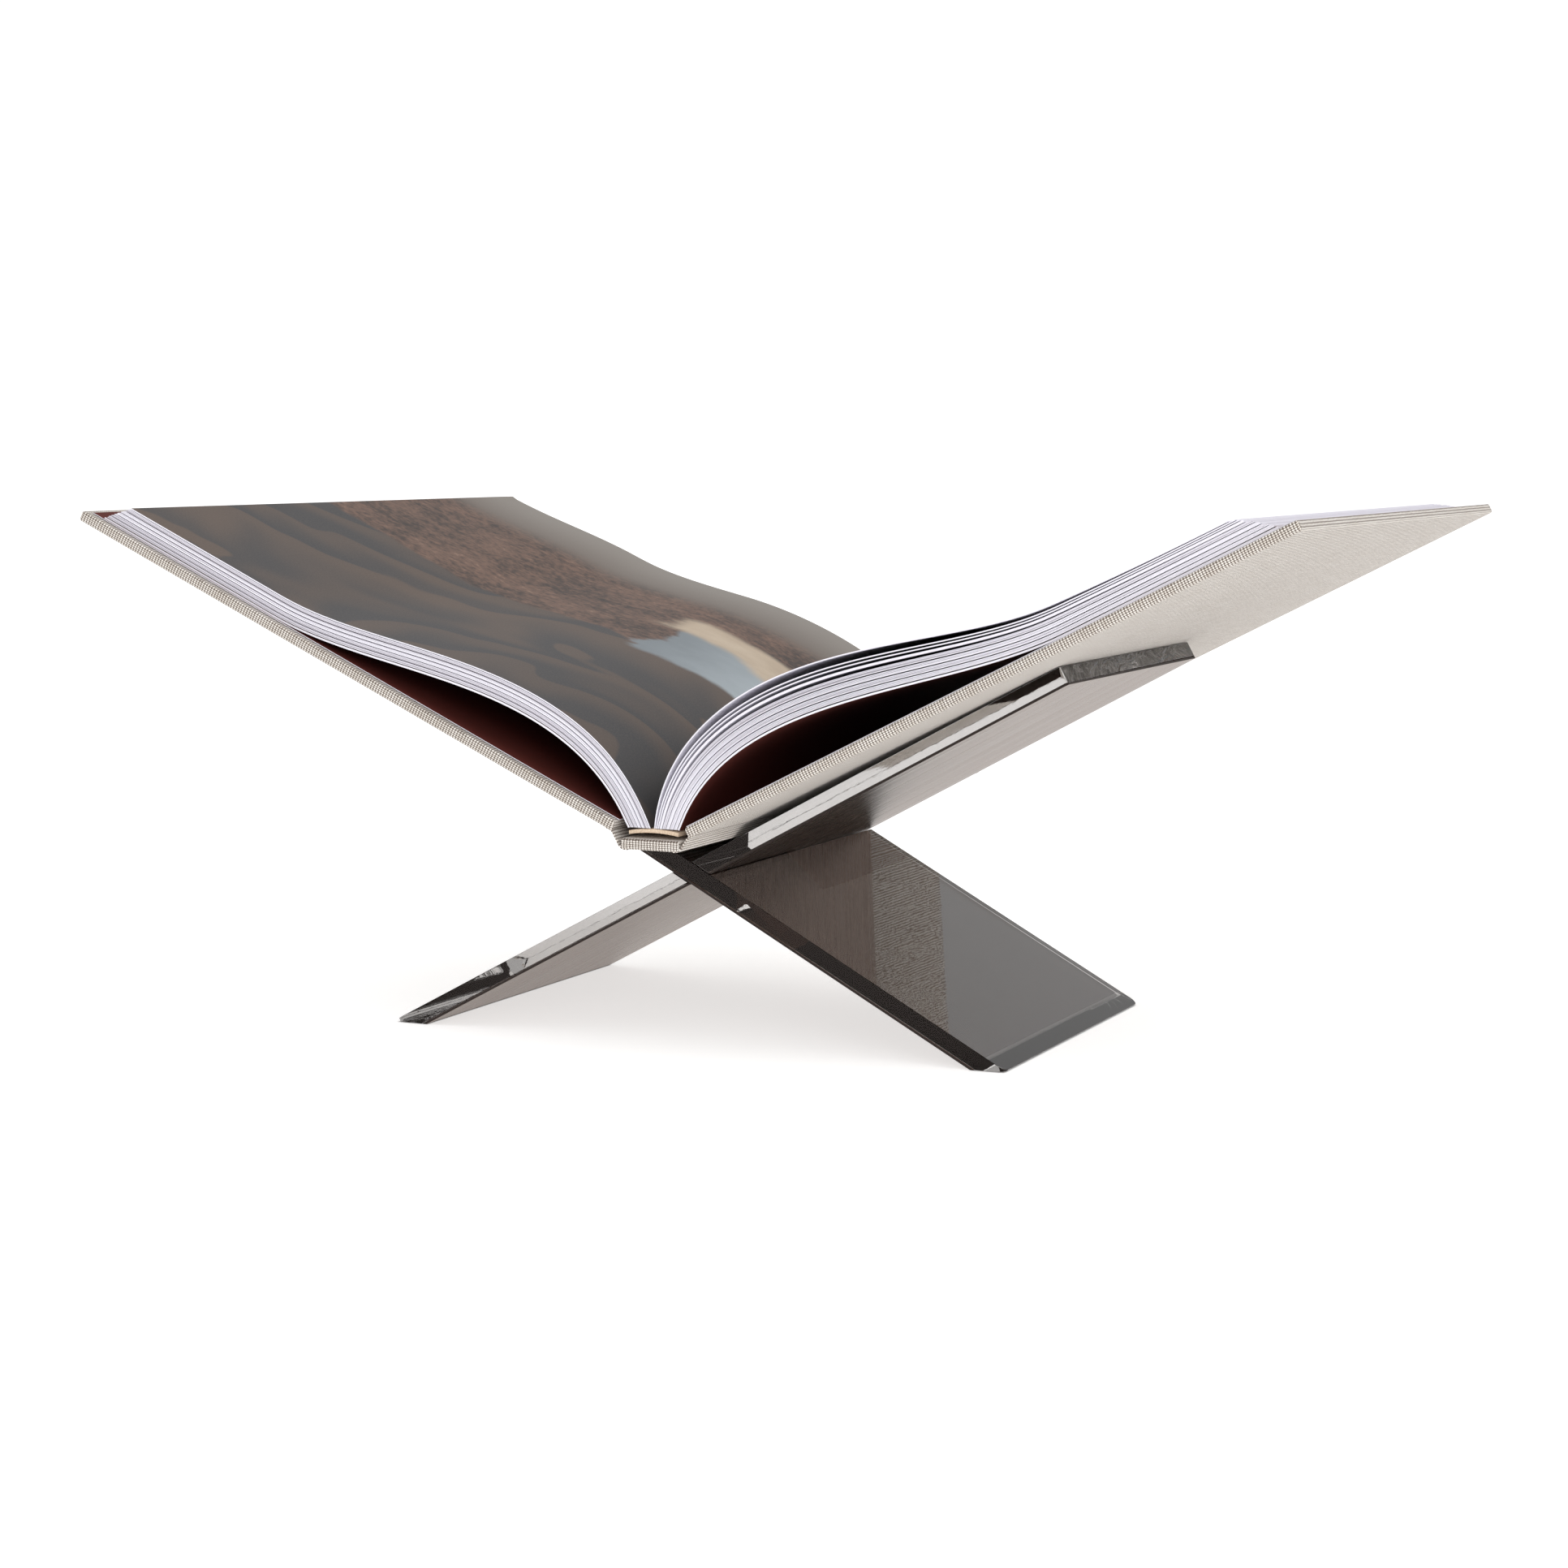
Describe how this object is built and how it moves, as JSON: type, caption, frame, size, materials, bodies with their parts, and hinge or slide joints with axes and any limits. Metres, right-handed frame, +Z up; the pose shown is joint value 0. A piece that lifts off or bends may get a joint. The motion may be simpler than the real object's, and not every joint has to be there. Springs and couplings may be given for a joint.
{
  "type": "photo album stand with open album",
  "caption": "Crossed-panel tabletop book stand in clear acrylic over brushed metal, cradling an open cloth-bound photo album.",
  "frame": {"origin": "middle of the whole assembly's bounding box in X and Y, on the surface that the feet stand on", "axes": "+Z up, +Y towards the album's head (away from the reader), +X towards the album's right-hand page; the panels cross on a line parallel to Y"},
  "size_m": [0.4748, 0.328, 0.2027],
  "materials": {
    "clear_acrylic": "clear polished acrylic with flame-polished edges",
    "brushed_backing": "bronze anodised, brushed along the panel's length",
    "book_cloth": "undyed natural linen book cloth, coarse plain weave",
    "grey_board": "raw grey binder's board",
    "endpaper": "matt dark maroon endpaper",
    "white_paper": "cool white coated album paper",
    "printed_paper": "satin printed album page",
    "kraft_lining": "matt tan spine lining"
  },
  "bodies": {
    "panel_a": {"panel_a_acrylic": "clear_acrylic", "panel_a_backing": "brushed_backing"},
    "panel_b": {"panel_b_acrylic": "clear_acrylic", "panel_b_backing": "brushed_backing"},
    "album_spine": {"spine_cloth": "book_cloth", "spine_strip": "grey_board", "spine_lining": "kraft_lining"},
    "left_half": {"left_cover_cloth": "book_cloth", "left_cover_board": "grey_board", "left_pastedown": "endpaper", "left_flyleaf": "endpaper", "left_section_1": "white_paper", "left_section_2": "white_paper", "left_section_3": "white_paper", "left_section_4": "white_paper", "left_section_5": "white_paper", "left_top_leaf_guard": "printed_paper"},
    "right_half": {"right_cover_cloth": "book_cloth", "right_cover_board": "grey_board", "right_pastedown": "endpaper", "right_flyleaf": "endpaper", "right_section_1": "white_paper", "right_section_2": "white_paper", "right_section_3": "white_paper", "right_section_4": "white_paper", "right_loose_leaf_1": "white_paper", "right_loose_leaf_2": "white_paper", "right_loose_leaf_3": "white_paper", "right_top_leaf_guard": "white_paper"},
    "left_leaf": {"left_top_leaf": "printed_paper"},
    "right_leaf": {"right_top_leaf": "white_paper"}
  },
  "joints": [
    {"name": "panel_b_slide", "type": "slide", "parent": "panel_a", "child": "panel_b", "axis": [0, 1, 0], "range_m": [0, 0.17]},
    {"name": "album_lift", "type": "slide", "parent": "panel_a", "child": "album_spine", "axis": [0, 0, 1], "range_m": [0, 0.25]},
    {"name": "left_cover_close", "type": "hinge", "parent": "album_spine", "child": "left_half", "pos_m": [0.00202, 0, 0.0868], "axis": [0, 1, 0], "range_deg": [0, 10]},
    {"name": "right_cover_close", "type": "hinge", "parent": "album_spine", "child": "right_half", "pos_m": [0.00202, 0, 0.0868], "axis": [0, -1, 0], "range_deg": [0, 10]},
    {"name": "left_leaf_turn", "type": "hinge", "parent": "left_half", "child": "left_leaf", "pos_m": [-0.01026, 0, 0.10586], "axis": [0, 1, 0], "range_deg": [0, 45]},
    {"name": "right_leaf_turn", "type": "hinge", "parent": "right_half", "child": "right_leaf", "pos_m": [0.00832, 0, 0.10785], "axis": [0, -1, 0], "range_deg": [0, 20]}
  ]
}
